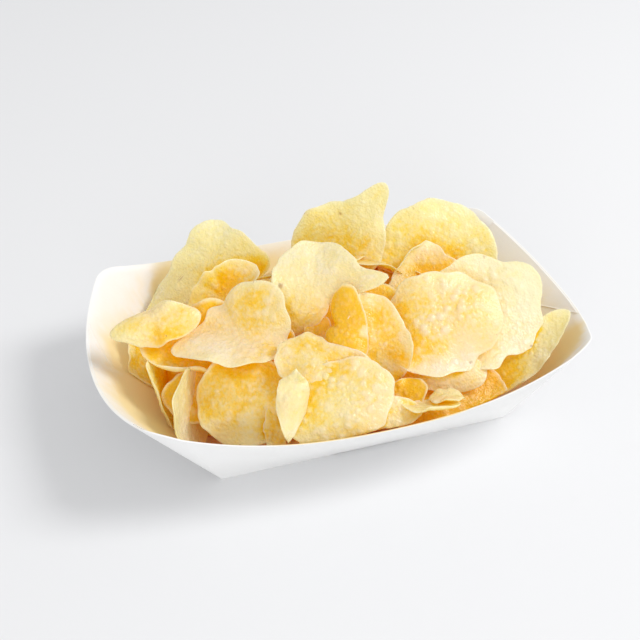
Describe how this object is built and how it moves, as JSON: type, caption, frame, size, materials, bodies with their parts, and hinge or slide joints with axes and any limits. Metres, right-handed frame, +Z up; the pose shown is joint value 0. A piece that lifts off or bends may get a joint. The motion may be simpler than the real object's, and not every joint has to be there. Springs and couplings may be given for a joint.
{
  "type": "tray of crisps",
  "caption": "Folded white paperboard food tray with flared walls, heaped with thin curled potato crisps.",
  "frame": {"origin": "middle of the tray's flat underside", "axes": "+Z up, +X along the tray's length, -Y towards its front long wall"},
  "size_m": [0.222, 0.152, 0.0912],
  "materials": {
    "paperboard": "uncoated white paperboard, matte with a faint fibre tooth",
    "fried_potato": "thin fried potato slices, golden, blistered, with a faint oily sheen"
  },
  "bodies": {
    "root": {"tray": "paperboard", "crisps": "fried_potato"}
  },
  "joints": []
}
